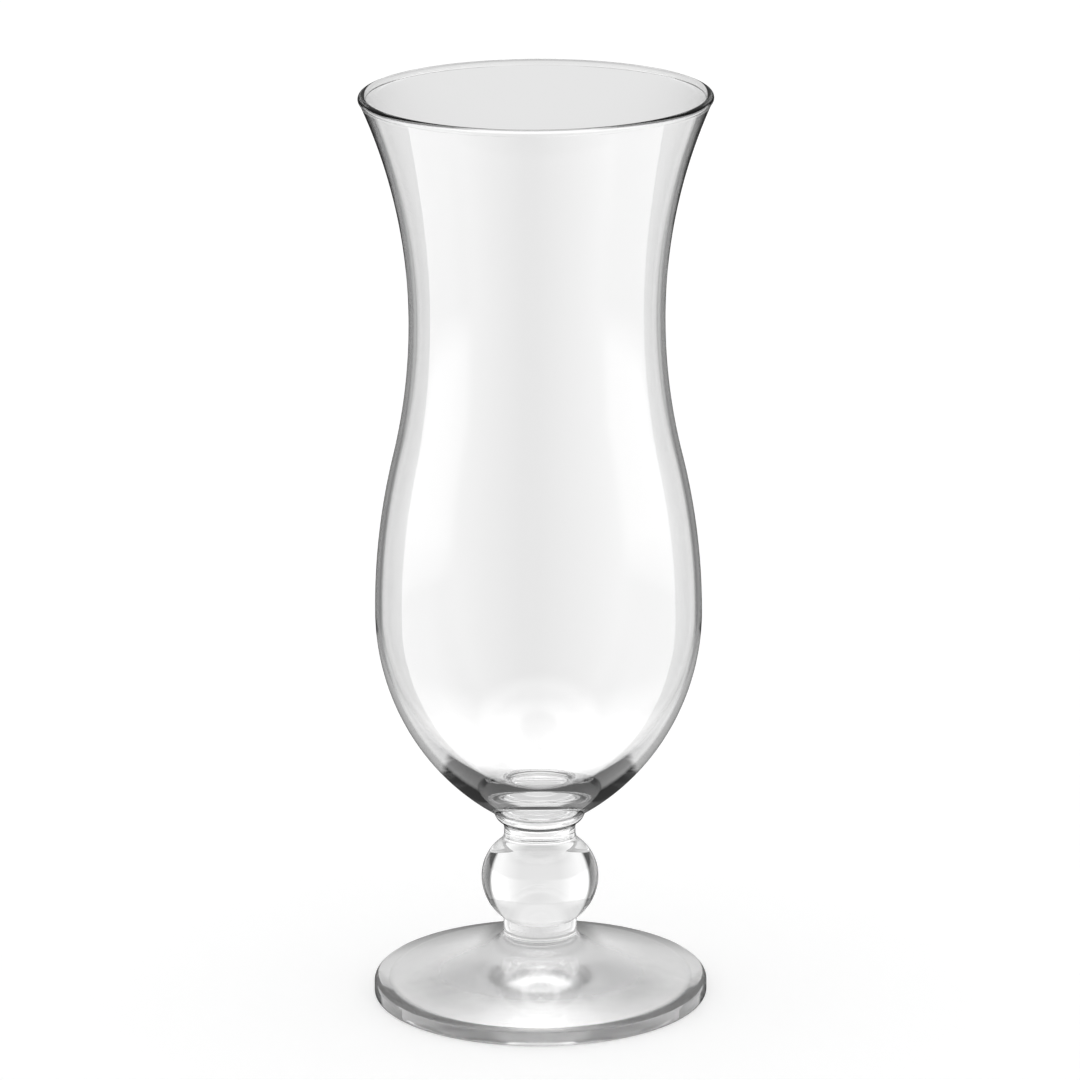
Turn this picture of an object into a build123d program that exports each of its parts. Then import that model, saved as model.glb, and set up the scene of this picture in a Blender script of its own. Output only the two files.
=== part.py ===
from build123d import *
import os
from math import asin, atan2, cos, radians, sin, sqrt

# Hurricane glass of clear glass: a blown bowl, a stem of two mereses and a ball knop, and a pressed foot.
# Millimetres, +Z up. The origin is the centre of the circle that the foot stands on.
# Every piece is turned about Z, so its outline is drawn in radius and height.

# Foot
foot_radius = 37.4
foot_height = 14.1
foot_edge_height = 4.3
foot_edge_round = 1.5
foot_base_round = 0.8
foot_fillet_reach = 4.0
foot_fillet_rise = 3.2
foot_neck_radius = 8.3
stand_width = 3.6
recess_depth = 3.3

# Lower merese: two soft rings with a crease between them
ring_radius = 8.1
ring_bulge = 0.15
lower_ring_height = 1.1
upper_ring_height = 2.6

# Ball knop: its height below and above the widest level, then the hollow up to the neck
knop_radius = 13.1
knop_lower_height = 9.5
knop_upper_height = 7.95
knop_hollow_height = 2.35

# Upper merese: the plain neck, the hollow above it and the collar's round edge
neck_radius = 8.0
neck_height = 1.2
collar_hollow_height = 1.8
collar_round_height = 2.2
collar_radius = 10.2

# Bowl: the solid base with the cavity's round floor, and the rise of the belly over the seam
base_thickness = 3.2
cavity_floor_round = 22.5
belly_rise = 46.4
belly_radius = 36.25
belly_wall = 1.55

# Bowl: the shoulder turns from full to hollow on the way up to the waist
shoulder_full_height = 35.5
shoulder_hollow_height = 31.2
waist_radius = 28.15
waist_wall = 1.85

# Bowl: the mouth, at the glass's full height
total_height = 206.0
rim_radius = 38.7
bead_radius = 0.85
mouth_wall = 1.45
mouth_lean = 24.5

# Levels of the seams and of the bowl, each on the one below
ring_crease_level = foot_height + lower_ring_height
knop_seam_level = ring_crease_level + upper_ring_height
knop_level = knop_seam_level + knop_lower_height
knop_turn_level = knop_level + knop_upper_height
neck_seam_level = knop_turn_level + knop_hollow_height
collar_foot_level = neck_seam_level + neck_height
collar_turn_level = collar_foot_level + collar_hollow_height
bowl_seam_level = collar_turn_level + collar_round_height
cavity_floor_level = bowl_seam_level + base_thickness
belly_level = bowl_seam_level + belly_rise
shoulder_turn_level = belly_level + shoulder_full_height
waist_level = shoulder_turn_level + shoulder_hollow_height


def turned(outline):
    """The solid that a closed outline in radius and height sweeps about Z."""
    return revolve(Plane.XZ * make_face(outline), Axis.Z)


def double_curve(upper, lower, turn_level):
    """Two arcs, upright at both ends, that meet without a corner on the line between the ends."""
    turn = lower + (upper - lower) * ((turn_level - lower.Y) / (upper.Y - lower.Y))
    return TangentArc(upper, turn, tangent=(0, -1)) + TangentArc(lower, turn, tangent=(0, 1))


def bowl():
    """The blown shell, open at the mouth, with a wall that thickens to the solid base."""
    lean = radians(mouth_lean)
    down_wall = Vector(-sin(lean), -cos(lean))
    across_wall = Vector(cos(lean), -sin(lean)) * (mouth_wall / 2)
    bead_centre = Vector(rim_radius - bead_radius, total_height - bead_radius)
    bead_top = bead_centre - down_wall * bead_radius
    bead_base = bead_centre + down_wall * sqrt(bead_radius**2 - (mouth_wall / 2) ** 2)
    mouth_outside = bead_base + across_wall
    mouth_inside = bead_base - across_wall
    waist_outside = Vector(waist_radius, waist_level)
    waist_inside = Vector(waist_radius - waist_wall, waist_level)
    belly_outside = Vector(belly_radius, belly_level)
    belly_inside = Vector(belly_radius - belly_wall, belly_level)
    seam_edge = Vector(collar_radius, bowl_seam_level)
    seam_centre = Vector(0, bowl_seam_level)
    floor_centre = Vector(0, cavity_floor_level)

    # The cavity's side arc is upright at the belly and runs smoothly into the floor's own round.
    reach = belly_inside.X
    depth = belly_level - cavity_floor_level
    side_round = (reach**2 + depth**2 - 2 * depth * cavity_floor_round) / (2 * (reach - cavity_floor_round))
    side_centre = Vector(reach - side_round, belly_level)
    round_centre = Vector(0, cavity_floor_level + cavity_floor_round)
    floor_edge = side_centre + (round_centre - side_centre).normalized() * side_round

    outside = TangentArc(waist_outside, mouth_outside, tangent=(0, 1))
    outside += double_curve(waist_outside, belly_outside, shoulder_turn_level)
    outside += TangentArc(belly_outside, seam_edge, tangent=(0, -1))
    base = Line(seam_edge, seam_centre) + Line(seam_centre, floor_centre)
    inside = TangentArc(floor_centre, floor_edge, tangent=(1, 0))
    inside += TangentArc(belly_inside, floor_edge, tangent=(0, -1))
    inside += double_curve(waist_inside, belly_inside, shoulder_turn_level)
    inside += TangentArc(waist_inside, mouth_inside, tangent=(0, 1))
    bead = ThreePointArc(mouth_inside, bead_top, mouth_outside)
    return turned(outside + base + inside + bead)


def upper_merese():
    """The collar under the bowl, with a round edge that runs in to the stem's neck."""
    collar_edge = Vector(collar_radius, bowl_seam_level)
    collar_foot = Vector(neck_radius, collar_foot_level)
    neck_edge = Vector(neck_radius, neck_seam_level)
    top_centre = Vector(0, bowl_seam_level)
    bottom_centre = Vector(0, neck_seam_level)
    outline = double_curve(collar_edge, collar_foot, collar_turn_level)
    outline += Line(collar_foot, neck_edge) + Line(neck_edge, bottom_centre)
    outline += Line(bottom_centre, top_centre) + Line(top_centre, collar_edge)
    return turned(outline)


def ball_knop():
    """The solid ball, hollowed smoothly into the neck above and cut off by the rings below."""
    equator = Vector(knop_radius, knop_level)
    neck_edge = Vector(neck_radius, neck_seam_level)
    ring_edge = Vector(ring_radius, knop_seam_level)
    top_centre = Vector(0, neck_seam_level)
    bottom_centre = Vector(0, knop_seam_level)
    outline = double_curve(neck_edge, equator, knop_turn_level)
    outline += TangentArc(equator, ring_edge, tangent=(0, -1)) + Line(ring_edge, bottom_centre)
    outline += Line(bottom_centre, top_centre) + Line(top_centre, neck_edge)
    return turned(outline)


def lower_merese():
    """Two soft rings, one on the other, between the ball and the foot."""
    upper_edge = Vector(ring_radius, knop_seam_level)
    crease = Vector(ring_radius, ring_crease_level)
    lower_edge = Vector(foot_neck_radius, foot_height)
    top_centre = Vector(0, knop_seam_level)
    bottom_centre = Vector(0, foot_height)
    bulge = Vector(ring_bulge, 0)
    outline = ThreePointArc(upper_edge, (upper_edge + crease) / 2 + bulge, crease)
    outline += ThreePointArc(crease, (crease + lower_edge) / 2 + bulge, lower_edge)
    outline += Line(lower_edge, bottom_centre) + Line(bottom_centre, top_centre)
    outline += Line(top_centre, upper_edge)
    return turned(outline)


def foot():
    """The pressed disc: a round edge, a gentle cone, a fillet up to the stem and a domed hollow below."""
    seam_edge = Vector(foot_neck_radius, foot_height)
    cone_end = seam_edge + Vector(foot_fillet_reach, -foot_fillet_rise)
    edge_centre = Vector(foot_radius - foot_edge_round, foot_edge_height - foot_edge_round)
    edge_top = edge_centre + Vector(foot_edge_round, 0)

    # The cone leaves the fillet's end and touches the edge's round.
    to_centre = edge_centre - cone_end
    slope = atan2(-to_centre.Y, to_centre.X) - asin(foot_edge_round / to_centre.length)
    inward = Vector(-cos(slope), sin(slope))
    cone_start = edge_centre + Vector(sin(slope), cos(slope)) * foot_edge_round
    edge_base = Vector(foot_radius, foot_base_round)
    stand_edge = Vector(foot_radius - foot_base_round, 0)
    recess_edge = stand_edge - Vector(stand_width, 0)
    recess_top = Vector(0, recess_depth)
    seam_centre = Vector(0, foot_height)
    outline = Line(seam_centre, seam_edge)
    outline += TangentArc(cone_end, seam_edge, tangent=inward) + Line(cone_end, cone_start)
    outline += TangentArc(edge_top, cone_start, tangent=(0, 1)) + Line(edge_top, edge_base)
    outline += TangentArc(edge_base, stand_edge, tangent=(0, -1)) + Line(stand_edge, recess_edge)
    outline += TangentArc(recess_top, recess_edge, tangent=(1, 0)) + Line(recess_top, seam_centre)
    return turned(outline)


pieces = {
    "bowl": bowl(),
    "upper_merese": upper_merese(),
    "ball_knop": ball_knop(),
    "lower_merese": lower_merese(),
    "foot": foot(),
}
os.makedirs("parts", exist_ok=True)
for name, solid in pieces.items():
    export_step(solid, f"parts/{name}.step")
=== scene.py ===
from math import asin, atan2, ceil, cos, pi, radians, sin, sqrt, tau

import bpy
from mathutils import Matrix, Vector


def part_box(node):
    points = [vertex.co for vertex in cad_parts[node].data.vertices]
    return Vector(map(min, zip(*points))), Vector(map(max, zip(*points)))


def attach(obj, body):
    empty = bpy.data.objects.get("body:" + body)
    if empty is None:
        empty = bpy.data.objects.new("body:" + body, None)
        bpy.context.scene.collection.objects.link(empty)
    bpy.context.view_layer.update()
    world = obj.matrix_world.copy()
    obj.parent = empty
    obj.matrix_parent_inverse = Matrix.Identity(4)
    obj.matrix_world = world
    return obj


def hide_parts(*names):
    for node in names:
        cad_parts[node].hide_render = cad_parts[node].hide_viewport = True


# Hurricane glass of clear glass, seen a little from above on a white studio floor.
# Metres, in the CAD model's frame.

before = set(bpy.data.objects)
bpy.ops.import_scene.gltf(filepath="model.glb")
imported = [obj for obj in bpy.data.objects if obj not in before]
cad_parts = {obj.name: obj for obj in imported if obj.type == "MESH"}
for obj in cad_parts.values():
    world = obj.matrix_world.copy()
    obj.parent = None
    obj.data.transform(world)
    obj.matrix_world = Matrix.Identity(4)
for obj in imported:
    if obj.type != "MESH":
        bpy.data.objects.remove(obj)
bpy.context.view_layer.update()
MM = 0.001

# Sizes that the frame gives
bowl_low, bowl_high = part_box("bowl")
collar_low, collar_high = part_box("upper_merese")
knop_low, knop_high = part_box("ball_knop")
foot_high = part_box("foot")[1]
rim_radius = bowl_high.x
total_height = bowl_high.z
bowl_seam_level = bowl_low.z
collar_radius = collar_high.x
neck_seam_level = collar_low.z
knop_radius = knop_high.x
knop_seam_level = knop_low.z
foot_radius = foot_high.x
foot_height = foot_high.z

# Foot
foot_edge_height = 4.3 * MM
foot_edge_round = 1.5 * MM
foot_base_round = 0.8 * MM
foot_fillet_reach = 4.0 * MM
foot_fillet_rise = 3.2 * MM
foot_neck_radius = 8.3 * MM
stand_width = 3.6 * MM
recess_depth = 3.3 * MM

# Lower merese
ring_radius = 8.1 * MM
ring_bulge = 0.15 * MM
lower_ring_height = 1.1 * MM

# Ball knop
knop_lower_height = 9.5 * MM
knop_hollow_height = 2.35 * MM

# Upper merese
neck_radius = 8.0 * MM
neck_height = 1.2 * MM
collar_round_height = 2.2 * MM

# Bowl
base_thickness = 3.2 * MM
cavity_floor_round = 22.5 * MM
belly_rise = 46.4 * MM
belly_radius = 36.25 * MM
belly_wall = 1.55 * MM
shoulder_full_height = 35.5 * MM
shoulder_hollow_height = 31.2 * MM
waist_radius = 28.15 * MM
waist_wall = 1.85 * MM
bead_radius = 0.85 * MM
mouth_wall = 1.45 * MM
mouth_lean = radians(24.5)

# Fineness of the turned meshes, and the space left in each fused seam
SEGMENTS = 256
LONGEST_STEP = 1.2 * MM
WIDEST_TURN = radians(3)
SHARP_ANGLE = radians(30)
SEAM_GAP = 0.01 * MM

# Glass surface: the waves that its making leaves, the haze of touch and the satin under the foot
WHITE = (1, 1, 1, 1)
GLASS_IOR = 1.5
WAVE_STRETCH = (1.0, 1.0, 2.5)
WAVE_DETAIL = 1.0
BLOWN_WAVE_LENGTH = 14 * MM
BLOWN_WAVE_DEPTH = 0.006 * MM
PRESSED_WAVE_LENGTH = 8 * MM
PRESSED_WAVE_DEPTH = 0.02 * MM
SMEAR_LENGTH = 30 * MM
SMEAR_SPAN = (0.45, 0.8)
SMEAR_ROUGHNESS = 0.005
SATIN_ROUGHNESS = 0.2
SATIN_MARGIN = 0.1 * MM

# Camera
CAMERA_PLACE = (0.0004, -1.3696, 0.4896)
CAMERA_PITCH = radians(15.67)
CAMERA_ROLL = radians(-0.3)
CAMERA_LENS = 214.4
CAMERA_SENSOR = 36.0
CAMERA_NEAR = 0.01

# Floor: its reach, how far it lies under the foot, and the shares of its white that glow and that are lit
FLOOR_REACH = 4.0
FLOOR_GAP = 0.05 * MM
FLOOR_GLOW = 0.36
FLOOR_LIT = 0.84

# Glowing patch of table under the foot, with painted light that is brightest along the middle and a painted
# shadow behind the stem
STAGE_SEGMENTS = 96
PATCH_RADIUS = 32.9 * MM
PATCH_HEIGHT = 0.01 * MM
PATCH_ASIDE = (1.5 * MM, 22 * MM)
PATCH_GLOWS = (1.28, 0.9)
STEM_SHADE_BEHIND = (2 * MM, 6 * MM)
STEM_SHADE_ASIDE = (12 * MM, 9 * MM)
STEM_SHADE_GLOW = 0.66

# Low band of card around the foot, which glows with painted light and is darker towards its bottom, for
# light that has met the glass a few times
CARD_RADIUS = 40 * MM
CARD_HEIGHT = 13 * MM
CARD_PAINTED_LIGHT_FROM = (4 * MM, 6 * MM)
CARD_GLOW = 0.8
CARD_SHADE = 0.03
CARD_SEEN_AFTER = 3.5
CARD_DARK_AFTER = (7.5, 8.5)

# The studio around the glass. Its levels of light count white as 1, and its angles are degrees: side is how
# far a direction turns from straight ahead, and rise is how far it climbs. A pair starts and ends a change.
# What light finds depends on how often it met a surface, so each way through the glass has its own values.

# White table, seen through both walls of the bowl, with a brighter part near the glass
TABLE_LEVEL = 0.885
BRIGHT_TABLE_LEVEL = 1.15
BRIGHT_TABLE_RISE = (-21, -27)
BRIGHT_TABLE_REACH_RISE = (-26, -31)
BRIGHT_TABLE_REACH = (2, 14)
BRIGHT_TABLE_BLUR = (10, 0)
STEEP_TABLE_LEVEL = 0.6
STEEP_TABLE_RISE = (-36, -42)

# White sweep and the dark flags at its sides, seen through the ball, the foot and the mouth
SWEEP_SIDE = (14, 34)
SWEEP_MIDDLE_RISE = (-38, -24)
SWEEP_MIDDLE_LEVELS = (0.62, 0.82)
SWEEP_WING_RISE = (4, 16)
SWEEP_WING_LEVELS = (1.05, 0.74)
FLAG_LEVEL = 0.05
FLAG_INNER_SIDE = (44, 50)
FLAG_OUTER_SIDE = (80, 68)

# Grey along the outline of the bowl, where light stays in one wall
EDGE_LEVEL = 0.3
EDGE_BRIGHT_LEVEL = 0.75
EDGE_LOW_RISE = (-28, -36)
EDGE_HIGH_RISE = (-2, 6)
EDGE_FLAG_LEVEL = 0.22
EDGE_FLAG_SIDE = (26, 36)
EDGE_FLAG_RISE = (24, 12)

# What comes out of the solid base and the stem after many turns
AHEAD_RISE = (-20, -30)
AHEAD_LEVELS = (0.75, 1.15)
ASIDE_SIDE = (15, 22)
ASIDE_NEAR_RISE = (-36, -28)
ASIDE_NEAR_LEVELS = (0.25, 0.15)
ASIDE_FAR_SIDE = (45, 60)
ASIDE_FAR_RISE = (-15, -22)
ASIDE_FAR_LEVELS = (0.1, 1.15)
BACK_LEVEL = 0.5
BACK_SIDE = (105, 115)
OVERHEAD_LEVEL = 2.4
OVERHEAD_RISE = (44, 52)
TRAPPED_LEVEL = 0.03
STRIP_LEVEL = 0.62
STRIP_SIDE = (88, 94)
STRIP_RISE = (36, 26)

# How often light has met a surface on each of those ways
MEETING_MARGIN = 0.5
SOLID_MEETINGS = 3
WALL_MEETINGS = 4
OVERHEAD_MEETINGS = 4.5
MANY_MEETINGS = 5.5
TRAPPED_MEETINGS = 8.5

# Softboxes at both sides that the glass mirrors, the left one a little further back, and the dark room above
SOFTBOX_SIDE = (180, 112)
SOFTBOX_LEVELS = (0.2, 3.4)
LEFT_SOFTBOX_TURN = 12
LEFT_LOW_LEVEL = 0.3
LEFT_LOW_RISE = (-60, -70)
SOFTBOX_EDGE_RISE = (-78, -62)
SOFTBOX_EDGE_SIDE = (50, 68)
STRIPLIGHT_SIDE = (31, 38)
STRIPLIGHT_DARK = 0.05
STRIPLIGHT_LEFT = 1.4
STRIPLIGHT_RIGHT = 1.6
SOFTBOX_TOP_SIDE = (60, 180)
SOFTBOX_TOP_RISE = (2, 16)
SOFTBOX_TOP_BLUR = (0, 4)
ROOM_LEVEL = 0.15

# Light on the floor and the white behind the glass
DIFFUSE_LEVEL = 0.8
BACKGROUND_LEVEL = 1.0

# Light in clear glass turns often before it comes out
BOUNCES = 64
CLEAR_BOUNCES = 32


class Outline:
    """A closed outline in radius and height, drawn from the axis back to the axis."""

    def __init__(self, radius, height):
        self.points = [Vector((radius, height))]
        self.seams = set()

    def line(self, end, seam=False):
        """A straight run to the end point, which may be a fused seam."""
        if seam:
            self.seams.add(len(self.points) - 1)
        self.points.append(Vector(end))

    def arc_out(self, end, tangent):
        """An arc that leaves the last point along the tangent."""
        self.points += tangent_arc(self.points[-1], Vector(end), Vector(tangent))[1:]

    def arc_in(self, end, tangent):
        """An arc that arrives at the end point along the tangent."""
        backwards = tangent_arc(Vector(end), self.points[-1], -Vector(tangent))
        self.points += backwards[-2::-1]

    def double_curve(self, end, turn_level):
        """Two arcs, upright at both ends, that meet without a corner on the line between the ends."""
        start, end = self.points[-1], Vector(end)
        turn = start.lerp(end, (turn_level - start.y) / (end.y - start.y))
        way = (0, 1 if end.y > start.y else -1)
        self.arc_out(turn, way)
        self.arc_in(end, way)

    def bulge(self, end, depth):
        """A shallow round to the end point, standing out by the depth at its middle."""
        start, end = self.points[-1], Vector(end)
        middle = (start + end) / 2 + Vector((depth, 0))
        along = end - start
        self.arc_in(middle, along)
        self.arc_out(end, along)


def tangent_arc(start, end, tangent):
    """Points along the arc that leaves start along the tangent and stops at end, both included."""
    chord = end - start
    normal = Vector((-tangent.y, tangent.x)).normalized()
    curve_radius = chord.length_squared / (2 * normal.dot(chord))
    centre = start + normal * curve_radius
    turn = 2 * tangent.angle_signed(chord)
    steps = ceil(max(abs(turn) / WIDEST_TURN, abs(turn * curve_radius) / LONGEST_STEP, 2))
    spoke = start - centre
    return [centre + Matrix.Rotation(-turn * step / steps, 2) @ spoke for step in range(steps + 1)]


def mesh_object(name, vertices, faces, materials):
    """A mesh with those materials, linked to the scene."""
    mesh = bpy.data.meshes.new(name)
    mesh.from_pydata(vertices, [], faces)
    for material in materials:
        mesh.materials.append(material)
    thing = bpy.data.objects.new(name, mesh)
    bpy.context.collection.objects.link(thing)
    return thing


def turned(name, outline, materials):
    """A closed mesh swept about Z from the outline, in place of the CAD node of the same name."""
    vertices = []
    rings = []
    for point in outline.points:
        count = SEGMENTS if point.x > 0 else 1
        rings.append([len(vertices) + place for place in range(count)])
        for place in range(count):
            turn = tau * place / SEGMENTS
            vertices.append((point.x * cos(turn), point.x * sin(turn), point.y))
    faces = []
    face_materials = []
    for index, (ring, other) in enumerate(zip(rings, rings[1:])):
        for place in range(SEGMENTS):
            corners = [ring[place % len(ring)], ring[(place + 1) % len(ring)]]
            corners += [other[(place + 1) % len(other)], other[place % len(other)]]
            faces.append(list(dict.fromkeys(corners)))
            face_materials.append(1 if index in outline.seams else 0)
    piece = mesh_object(f"{name}_glass", vertices, faces, materials)
    mesh = piece.data
    mesh.polygons.foreach_set("material_index", face_materials)
    mesh.polygons.foreach_set("use_smooth", [True] * len(faces))
    mesh.set_sharp_from_angle(angle=SHARP_ANGLE)
    mesh.validate()
    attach(piece, "root")
    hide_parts(name)


def bowl_outline():
    """The blown shell: from the seam up the outside, over the bead and down the inside to the floor."""
    belly_level = bowl_seam_level + belly_rise
    turn_level = belly_level + shoulder_full_height
    waist_level = turn_level + shoulder_hollow_height
    cavity_floor_level = bowl_seam_level + base_thickness
    up_wall = Vector((sin(mouth_lean), cos(mouth_lean)))
    across_wall = Vector((cos(mouth_lean), -sin(mouth_lean))) * (mouth_wall / 2)
    bead_centre = Vector((rim_radius - bead_radius, total_height - bead_radius))
    bead_base = bead_centre - up_wall * sqrt(bead_radius**2 - (mouth_wall / 2) ** 2)
    bead_top = bead_centre + up_wall * bead_radius
    bead_way = Vector((-up_wall.y, up_wall.x))
    mouth_outside = bead_base + across_wall
    mouth_inside = bead_base - across_wall

    # The cavity's side arc is upright at the belly and runs smoothly into the floor's own round.
    reach = belly_radius - belly_wall
    depth = belly_level - cavity_floor_level
    side_round = (reach**2 + depth**2 - 2 * depth * cavity_floor_round) / (2 * (reach - cavity_floor_round))
    side_centre = Vector((reach - side_round, belly_level))
    round_centre = Vector((0, cavity_floor_level + cavity_floor_round))
    floor_edge = side_centre + (round_centre - side_centre).normalized() * side_round

    outline = Outline(0, bowl_seam_level + SEAM_GAP)
    outline.line((collar_radius, bowl_seam_level + SEAM_GAP), seam=True)
    outline.arc_in((belly_radius, belly_level), (0, 1))
    outline.double_curve((waist_radius, waist_level), turn_level)
    outline.arc_out(mouth_outside, (0, 1))
    outline.arc_in(bead_top, bead_way)
    outline.arc_out(mouth_inside, bead_way)
    outline.arc_in((waist_radius - waist_wall, waist_level), (0, -1))
    outline.double_curve((reach, belly_level), turn_level)
    outline.arc_out(floor_edge, (0, -1))
    outline.arc_in((0, cavity_floor_level), (-1, 0))
    return outline


def upper_merese_outline():
    """The collar under the bowl, with a round edge that runs in to the stem's neck."""
    collar_foot_level = neck_seam_level + neck_height
    collar_turn_level = bowl_seam_level - collar_round_height
    outline = Outline(0, neck_seam_level + SEAM_GAP)
    outline.line((neck_radius, neck_seam_level + SEAM_GAP), seam=True)
    outline.line((neck_radius, collar_foot_level))
    outline.double_curve((collar_radius, bowl_seam_level - SEAM_GAP), collar_turn_level)
    outline.line((0, bowl_seam_level - SEAM_GAP), seam=True)
    return outline


def ball_knop_outline():
    """The solid ball, hollowed smoothly into the neck above and cut off by the rings below."""
    knop_level = knop_seam_level + knop_lower_height
    knop_turn_level = neck_seam_level - knop_hollow_height
    outline = Outline(0, knop_seam_level + SEAM_GAP)
    outline.line((ring_radius, knop_seam_level + SEAM_GAP), seam=True)
    outline.arc_in((knop_radius, knop_level), (0, 1))
    outline.double_curve((neck_radius, neck_seam_level - SEAM_GAP), knop_turn_level)
    outline.line((0, neck_seam_level - SEAM_GAP), seam=True)
    return outline


def lower_merese_outline():
    """Two soft rings, one on the other, between the ball and the foot."""
    outline = Outline(0, foot_height + SEAM_GAP)
    outline.line((foot_neck_radius, foot_height + SEAM_GAP), seam=True)
    outline.bulge((ring_radius, foot_height + lower_ring_height), ring_bulge)
    outline.bulge((ring_radius, knop_seam_level - SEAM_GAP), ring_bulge)
    outline.line((0, knop_seam_level - SEAM_GAP), seam=True)
    return outline


def foot_outline():
    """The pressed disc: a domed hollow below, a round edge, a gentle cone and a fillet up to the stem."""
    seam_edge = Vector((foot_neck_radius, foot_height))
    cone_end = seam_edge + Vector((foot_fillet_reach, -foot_fillet_rise))
    edge_centre = Vector((foot_radius - foot_edge_round, foot_edge_height - foot_edge_round))

    # The cone leaves the fillet's end and touches the edge's round.
    to_centre = edge_centre - cone_end
    slope = atan2(-to_centre.y, to_centre.x) - asin(foot_edge_round / to_centre.length)
    inward = Vector((-cos(slope), sin(slope)))
    cone_start = edge_centre + Vector((sin(slope), cos(slope))) * foot_edge_round

    stand_radius = foot_radius - foot_base_round
    outline = Outline(0, recess_depth)
    outline.arc_out((stand_radius - stand_width, 0), (1, 0))
    outline.line((stand_radius, 0))
    outline.arc_in((foot_radius, foot_base_round), (0, 1))
    outline.line((foot_radius, foot_edge_height - foot_edge_round))
    outline.arc_out(cone_start, (0, 1))
    outline.line(cone_end)
    outline.arc_out((foot_neck_radius, foot_height - SEAM_GAP), inward)
    outline.line((0, foot_height - SEAM_GAP), seam=True)
    return outline


class Nodes:
    """Short calls that add the nodes of one tree."""

    def __init__(self, tree):
        self.tree = tree

    def add(self, kind, **settings):
        """A node of that kind with its own settings."""
        node = self.tree.nodes.new(kind)
        for name, value in settings.items():
            setattr(node, name, value)
        return node

    def feed(self, socket, value):
        """Links a socket to the input, or sets a plain value on it."""
        if isinstance(value, bpy.types.NodeSocket):
            self.tree.links.new(value, socket)
        else:
            socket.default_value = value

    def math(self, operation, *values):
        """The result of one operation on numbers or sockets."""
        node = self.add("ShaderNodeMath", operation=operation)
        for socket, value in zip(node.inputs, values):
            self.feed(socket, value)
        return node.outputs[0]

    def both(self, first, second):
        """The share to which two conditions hold together."""
        return self.math("MULTIPLY", first, second)

    def ramp(self, value, span, ends=(0.0, 1.0)):
        """Goes evenly from the first end to the second as the value goes along the span."""
        node = self.add("ShaderNodeMapRange")
        names = ("Value", "From Min", "From Max", "To Min", "To Max")
        for name, given in zip(names, (value, *span, *ends)):
            self.feed(node.inputs[name], given)
        return node.outputs[0]

    def mix(self, share, first, second):
        """The first number at a share of 0 and the second at 1."""
        node = self.add("ShaderNodeMix")
        for socket, value in zip(node.inputs[0:1] + node.inputs[2:4], (share, first, second)):
            self.feed(socket, value)
        return node.outputs[0]

    def axes(self, vector):
        """The X, Y and Z of a place or a direction."""
        split = self.add("ShaderNodeSeparateXYZ")
        self.feed(split.inputs[0], vector)
        return split.outputs["X"], split.outputs["Y"], split.outputs["Z"]

    def position(self):
        """The place on the surface."""
        return self.add("ShaderNodeNewGeometry").outputs["Position"]

    def surface(self, shader):
        """Gives the material that shader."""
        self.feed(self.tree.nodes["Material Output"].inputs["Surface"], shader.outputs[0])


def bare_material(name):
    """A material without a shader, and the calls that add its nodes."""
    material = bpy.data.materials.new(name)
    material.use_nodes = True
    nodes = Nodes(material.node_tree)
    nodes.tree.nodes.remove(nodes.tree.nodes["Principled BSDF"])
    return material, nodes


def glass(name, wave_length, wave_depth):
    """Clear soda-lime glass whose surface carries the faint waves that its making leaves."""
    material = bpy.data.materials.new(name)
    material.use_nodes = True
    nodes = Nodes(material.node_tree)
    shader = material.node_tree.nodes["Principled BSDF"]
    shader.inputs["Base Color"].default_value = WHITE
    shader.inputs["IOR"].default_value = GLASS_IOR
    shader.inputs["Transmission Weight"].default_value = 1.0
    place = nodes.position()
    stretch = nodes.add("ShaderNodeMapping")
    nodes.feed(stretch.inputs["Vector"], place)
    nodes.feed(stretch.inputs["Scale"], WAVE_STRETCH)
    waves = nodes.add("ShaderNodeTexNoise")
    nodes.feed(waves.inputs["Vector"], stretch.outputs["Vector"])
    nodes.feed(waves.inputs["Scale"], 1 / wave_length)
    nodes.feed(waves.inputs["Detail"], WAVE_DETAIL)
    bump = nodes.add("ShaderNodeBump")
    nodes.feed(bump.inputs["Height"], waves.outputs["Fac"])
    nodes.feed(bump.inputs["Distance"], wave_depth)
    nodes.feed(shader.inputs["Normal"], bump.outputs["Normal"])

    # Touched glass has a breath of haze here and there, and the underside of the foot is satin.
    smears = nodes.add("ShaderNodeTexNoise")
    nodes.feed(smears.inputs["Vector"], place)
    nodes.feed(smears.inputs["Scale"], 1 / SMEAR_LENGTH)
    haze = nodes.ramp(smears.outputs["Fac"], SMEAR_SPAN, (0.0, SMEAR_ROUGHNESS))
    x, y, z = nodes.axes(place)
    from_axis = nodes.math("SQRT", nodes.math("ADD", nodes.math("POWER", x, 2), nodes.math("POWER", y, 2)))
    recess_radius = foot_radius - foot_base_round - stand_width
    low = nodes.math("LESS_THAN", z, recess_depth + SATIN_MARGIN)
    inside = nodes.math("LESS_THAN", from_axis, recess_radius + SATIN_MARGIN)
    nodes.feed(shader.inputs["Roughness"], nodes.mix(nodes.both(low, inside), haze, SATIN_ROUGHNESS))
    return material


def seam_glass():
    """Glass fused to glass, where light goes straight on."""
    material, nodes = bare_material("fused_seam")
    nodes.surface(nodes.add("ShaderNodeBsdfTransparent"))
    return material


def add_camera():
    """The photograph's view: a long lens, a little from above."""
    data = bpy.data.cameras.new("camera")
    data.lens = CAMERA_LENS
    data.sensor_width = CAMERA_SENSOR
    data.clip_start = CAMERA_NEAR
    camera = bpy.data.objects.new("camera", data)
    bpy.context.collection.objects.link(camera)
    aim = Matrix.Rotation(pi / 2 - CAMERA_PITCH, 4, "X") @ Matrix.Rotation(CAMERA_ROLL, 4, "Z")
    camera.matrix_world = Matrix.Translation(CAMERA_PLACE) @ aim
    bpy.context.scene.camera = camera


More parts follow.
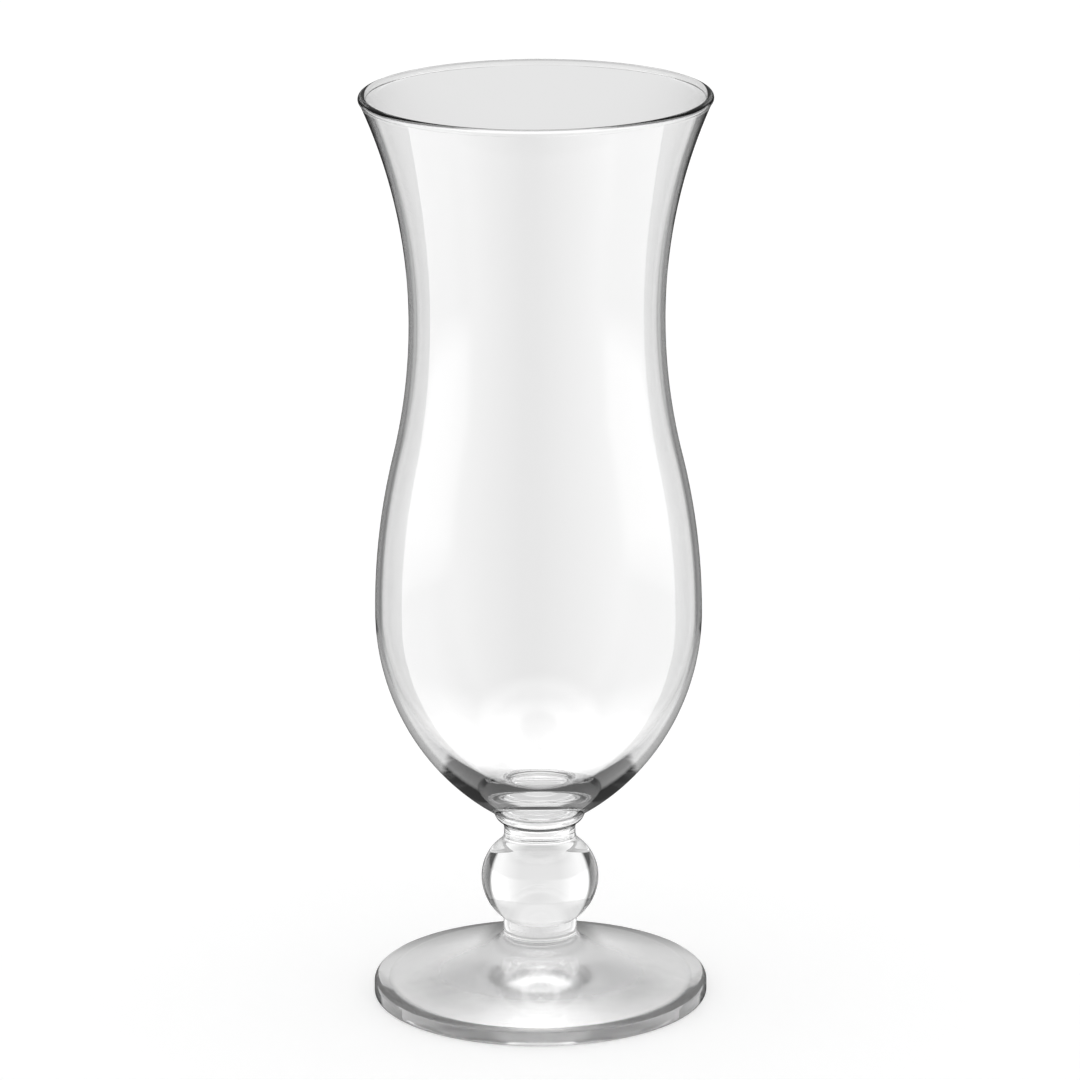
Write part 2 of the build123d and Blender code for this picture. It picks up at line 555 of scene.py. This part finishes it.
def table_light(nodes, side, rise):
    """The white table, with its brighter part near the glass."""
    reach = nodes.ramp(rise, BRIGHT_TABLE_REACH_RISE, BRIGHT_TABLE_REACH)
    near_middle = nodes.ramp(nodes.math("SUBTRACT", side, reach), BRIGHT_TABLE_BLUR)
    bright = nodes.both(nodes.ramp(rise, BRIGHT_TABLE_RISE), near_middle)
    level = nodes.mix(bright, TABLE_LEVEL, BRIGHT_TABLE_LEVEL)
    return nodes.mix(nodes.ramp(rise, STEEP_TABLE_RISE), level, STEEP_TABLE_LEVEL)


def sweep_light(nodes, side, rise):
    """The white sweep behind the glass, between two dark flags."""
    middle = nodes.ramp(rise, SWEEP_MIDDLE_RISE, SWEEP_MIDDLE_LEVELS)
    wing = nodes.ramp(rise, SWEEP_WING_RISE, SWEEP_WING_LEVELS)
    flags = nodes.both(nodes.ramp(side, FLAG_INNER_SIDE), nodes.ramp(side, FLAG_OUTER_SIDE))
    return nodes.mix(flags, nodes.ramp(side, SWEEP_SIDE, (middle, wing)), FLAG_LEVEL)


def edge_light(nodes, side, rise):
    """The grey that draws the outline of the bowl."""
    level = nodes.mix(nodes.ramp(rise, EDGE_LOW_RISE), EDGE_LEVEL, EDGE_BRIGHT_LEVEL)
    level = nodes.mix(nodes.ramp(rise, EDGE_HIGH_RISE), level, EDGE_BRIGHT_LEVEL)
    flags = nodes.both(nodes.ramp(side, EDGE_FLAG_SIDE), nodes.ramp(rise, EDGE_FLAG_RISE))
    return nodes.mix(flags, level, EDGE_FLAG_LEVEL)


def turned_light(nodes, side, rise):
    """What light finds that has turned many times in the base or the stem."""
    near = nodes.ramp(rise, ASIDE_NEAR_RISE, ASIDE_NEAR_LEVELS)
    far = nodes.ramp(rise, ASIDE_FAR_RISE, ASIDE_FAR_LEVELS)
    aside = nodes.mix(nodes.ramp(side, ASIDE_FAR_SIDE), near, far)
    aside = nodes.mix(nodes.ramp(side, BACK_SIDE), aside, BACK_LEVEL)
    ahead = nodes.ramp(rise, AHEAD_RISE, AHEAD_LEVELS)
    return nodes.mix(nodes.ramp(side, ASIDE_SIDE), ahead, aside)


def passed_light(nodes, side, rise, meetings):
    """What the glass lets through, by how often the light has met a surface."""
    through_solid = nodes.math("COMPARE", meetings, SOLID_MEETINGS, MEETING_MARGIN)
    along_wall = nodes.math("COMPARE", meetings, WALL_MEETINGS, MEETING_MARGIN)
    many_times = nodes.math("GREATER_THAN", meetings, MANY_MEETINGS)
    trapped = nodes.math("GREATER_THAN", meetings, TRAPPED_MEETINGS)
    passed = nodes.mix(through_solid, table_light(nodes, side, rise), sweep_light(nodes, side, rise))
    passed = nodes.mix(along_wall, passed, edge_light(nodes, side, rise))
    passed = nodes.mix(many_times, passed, turned_light(nodes, side, rise))
    sees_overhead = nodes.math("GREATER_THAN", meetings, OVERHEAD_MEETINGS)
    overhead = nodes.both(nodes.ramp(rise, OVERHEAD_RISE), sees_overhead)
    passed = nodes.mix(overhead, passed, OVERHEAD_LEVEL)
    strip = nodes.both(nodes.ramp(side, STRIP_SIDE), nodes.ramp(rise, STRIP_RISE))
    return nodes.mix(trapped, passed, nodes.mix(strip, TRAPPED_LEVEL, STRIP_LEVEL))


def mirrored_light(nodes, side, rise, left):
    """What the glass mirrors: a softbox and a strip of light at each side, under a dark room."""
    softbox_side = nodes.math("MULTIPLY_ADD", left, LEFT_SOFTBOX_TURN, side)
    softbox = nodes.ramp(softbox_side, SOFTBOX_SIDE, SOFTBOX_LEVELS)
    left_low = nodes.both(left, nodes.ramp(rise, LEFT_LOW_RISE))
    softbox = nodes.mix(left_low, softbox, LEFT_LOW_LEVEL)
    striplight = nodes.mix(left, STRIPLIGHT_RIGHT, STRIPLIGHT_LEFT)
    striplight = nodes.ramp(side, STRIPLIGHT_SIDE, (STRIPLIGHT_DARK, striplight))
    softbox_edge = nodes.ramp(rise, SOFTBOX_EDGE_RISE, SOFTBOX_EDGE_SIDE)
    past_edge = nodes.math("LESS_THAN", side, softbox_edge)
    mirrored = nodes.mix(past_edge, softbox, striplight)
    top = nodes.ramp(side, SOFTBOX_TOP_SIDE, SOFTBOX_TOP_RISE)
    above_top = nodes.ramp(nodes.math("SUBTRACT", rise, top), SOFTBOX_TOP_BLUR)
    return nodes.mix(above_top, mirrored, ROOM_LEVEL)


def add_world():
    """A white table and sweep, dark flags and large softboxes beside the glass, and a dark room above."""
    world = bpy.data.worlds.new("studio")
    world.use_nodes = True
    bpy.context.scene.world = world
    nodes = Nodes(world.node_tree)
    x, y, z = nodes.axes(nodes.add("ShaderNodeTexCoord").outputs["Generated"])
    turn = nodes.math("DEGREES", nodes.math("ARCTAN2", x, y))
    side = nodes.math("ABSOLUTE", turn)
    left = nodes.math("LESS_THAN", turn, 0)
    rise = nodes.math("DEGREES", nodes.math("ARCSINE", z))
    path = nodes.add("ShaderNodeLightPath").outputs
    passed = passed_light(nodes, side, rise, path["Ray Depth"])
    mirrored = mirrored_light(nodes, side, rise, left)
    seen = nodes.mix(path["Is Reflection Ray"], passed, mirrored)
    seen = nodes.mix(path["Is Diffuse Ray"], seen, DIFFUSE_LEVEL)
    seen = nodes.mix(path["Is Camera Ray"], seen, BACKGROUND_LEVEL)
    background = world.node_tree.nodes["Background"]
    nodes.feed(background.inputs["Strength"], seen)
    background.inputs["Color"].default_value = WHITE


def add_floor():
    """A white table with the glass's soft shadow, which the glass itself sees as the world's lower half."""
    material, nodes = bare_material("white_table")
    lit = nodes.add("ShaderNodeBsdfDiffuse")
    lit.inputs["Color"].default_value = (FLOOR_LIT, FLOOR_LIT, FLOOR_LIT, 1)
    glow = nodes.add("ShaderNodeEmission")
    nodes.feed(glow.inputs["Strength"], FLOOR_GLOW)
    white = nodes.add("ShaderNodeAddShader")
    nodes.feed(white.inputs[0], lit.outputs[0])
    nodes.feed(white.inputs[1], glow.outputs[0])
    nodes.surface(white)
    corners = [(-1, -1), (1, -1), (1, 1), (-1, 1)]
    vertices = [(x * FLOOR_REACH, y * FLOOR_REACH, 0) for x, y in corners]
    floor = mesh_object("floor", vertices, [(0, 1, 2, 3)], [material])
    floor.location.z = -FLOOR_GAP
    floor.visible_glossy = False
    floor.visible_transmission = False


def seen_through_glass(stage):
    """Keeps a stage object for the light that comes out of the glass."""
    stage.visible_camera = False
    stage.visible_diffuse = False
    stage.visible_glossy = False
    stage.visible_shadow = False


def stage_ring(radius, height):
    """Points around the axis."""
    turns = [tau * index / STAGE_SEGMENTS for index in range(STAGE_SEGMENTS)]
    return [(radius * cos(turn), radius * sin(turn), height) for turn in turns]


def add_painted_light_patch():
    """The patch of table under the foot, which glows with painted light, most along the middle, and has a
    painted shadow behind the stem.
    """
    material, nodes = bare_material("painted_light_patch")
    x, y, _ = nodes.axes(nodes.position())
    aside = nodes.math("ABSOLUTE", x)
    # Painted shadow behind the stem and painted light along the middle, both set in the glow's strength
    painted_stem_shadow = nodes.both(nodes.ramp(y, STEM_SHADE_BEHIND), nodes.ramp(aside, STEM_SHADE_ASIDE))
    level = nodes.mix(painted_stem_shadow, nodes.ramp(aside, PATCH_ASIDE, PATCH_GLOWS), STEM_SHADE_GLOW)
    glow = nodes.add("ShaderNodeEmission")
    nodes.feed(glow.inputs["Strength"], level)
    nodes.surface(glow)
    rim = stage_ring(PATCH_RADIUS, PATCH_HEIGHT)
    seen_through_glass(mesh_object("painted_light_patch", rim, [range(STAGE_SEGMENTS)], [material]))


def add_painted_light_card():
    """A low band of card around the foot, glowing white with painted light and darker towards its bottom,
    which light that has wandered in the glass finds dark.
    """
    material, nodes = bare_material("painted_light_card")
    height = nodes.axes(nodes.position())[2]
    meetings = nodes.add("ShaderNodeLightPath").outputs["Ray Depth"]
    # Painted light on the card, darker towards its bottom, and painted dark for light that has met the glass
    # many times
    level = nodes.ramp(height, CARD_PAINTED_LIGHT_FROM, (CARD_SHADE, CARD_GLOW))
    glow = nodes.add("ShaderNodeEmission")
    nodes.feed(glow.inputs["Strength"], nodes.ramp(meetings, CARD_DARK_AFTER, (level, CARD_SHADE)))
    card = nodes.add("ShaderNodeMixShader")
    nodes.feed(card.inputs[0], nodes.math("GREATER_THAN", meetings, CARD_SEEN_AFTER))
    nodes.feed(card.inputs[1], nodes.add("ShaderNodeBsdfTransparent").outputs[0])
    nodes.feed(card.inputs[2], glow.outputs[0])
    nodes.surface(card)
    faces = []
    for index in range(STAGE_SEGMENTS):
        after = (index + 1) % STAGE_SEGMENTS
        faces.append((index, after, STAGE_SEGMENTS + after, STAGE_SEGMENTS + index))
    vertices = stage_ring(CARD_RADIUS, 0) + stage_ring(CARD_RADIUS, CARD_HEIGHT)
    seen_through_glass(mesh_object("painted_light_card", vertices, faces, [material]))


bowl_glass = glass("bowl_glass", BLOWN_WAVE_LENGTH, BLOWN_WAVE_DEPTH)
stem_glass = glass("stem_glass", PRESSED_WAVE_LENGTH, PRESSED_WAVE_DEPTH)
foot_glass = glass("foot_glass", PRESSED_WAVE_LENGTH, PRESSED_WAVE_DEPTH)
fused_seam = seam_glass()
turned("bowl", bowl_outline(), [bowl_glass, fused_seam])
turned("upper_merese", upper_merese_outline(), [stem_glass, fused_seam])
turned("ball_knop", ball_knop_outline(), [stem_glass, fused_seam])
turned("lower_merese", lower_merese_outline(), [stem_glass, fused_seam])
turned("foot", foot_outline(), [foot_glass, fused_seam])
add_camera()
add_world()
add_floor()
add_painted_light_patch()
add_painted_light_card()

scene = bpy.context.scene
scene.view_settings.view_transform = "Standard"
scene.cycles.max_bounces = BOUNCES
scene.cycles.transmission_bounces = BOUNCES
scene.cycles.glossy_bounces = BOUNCES
scene.cycles.transparent_max_bounces = CLEAR_BOUNCES
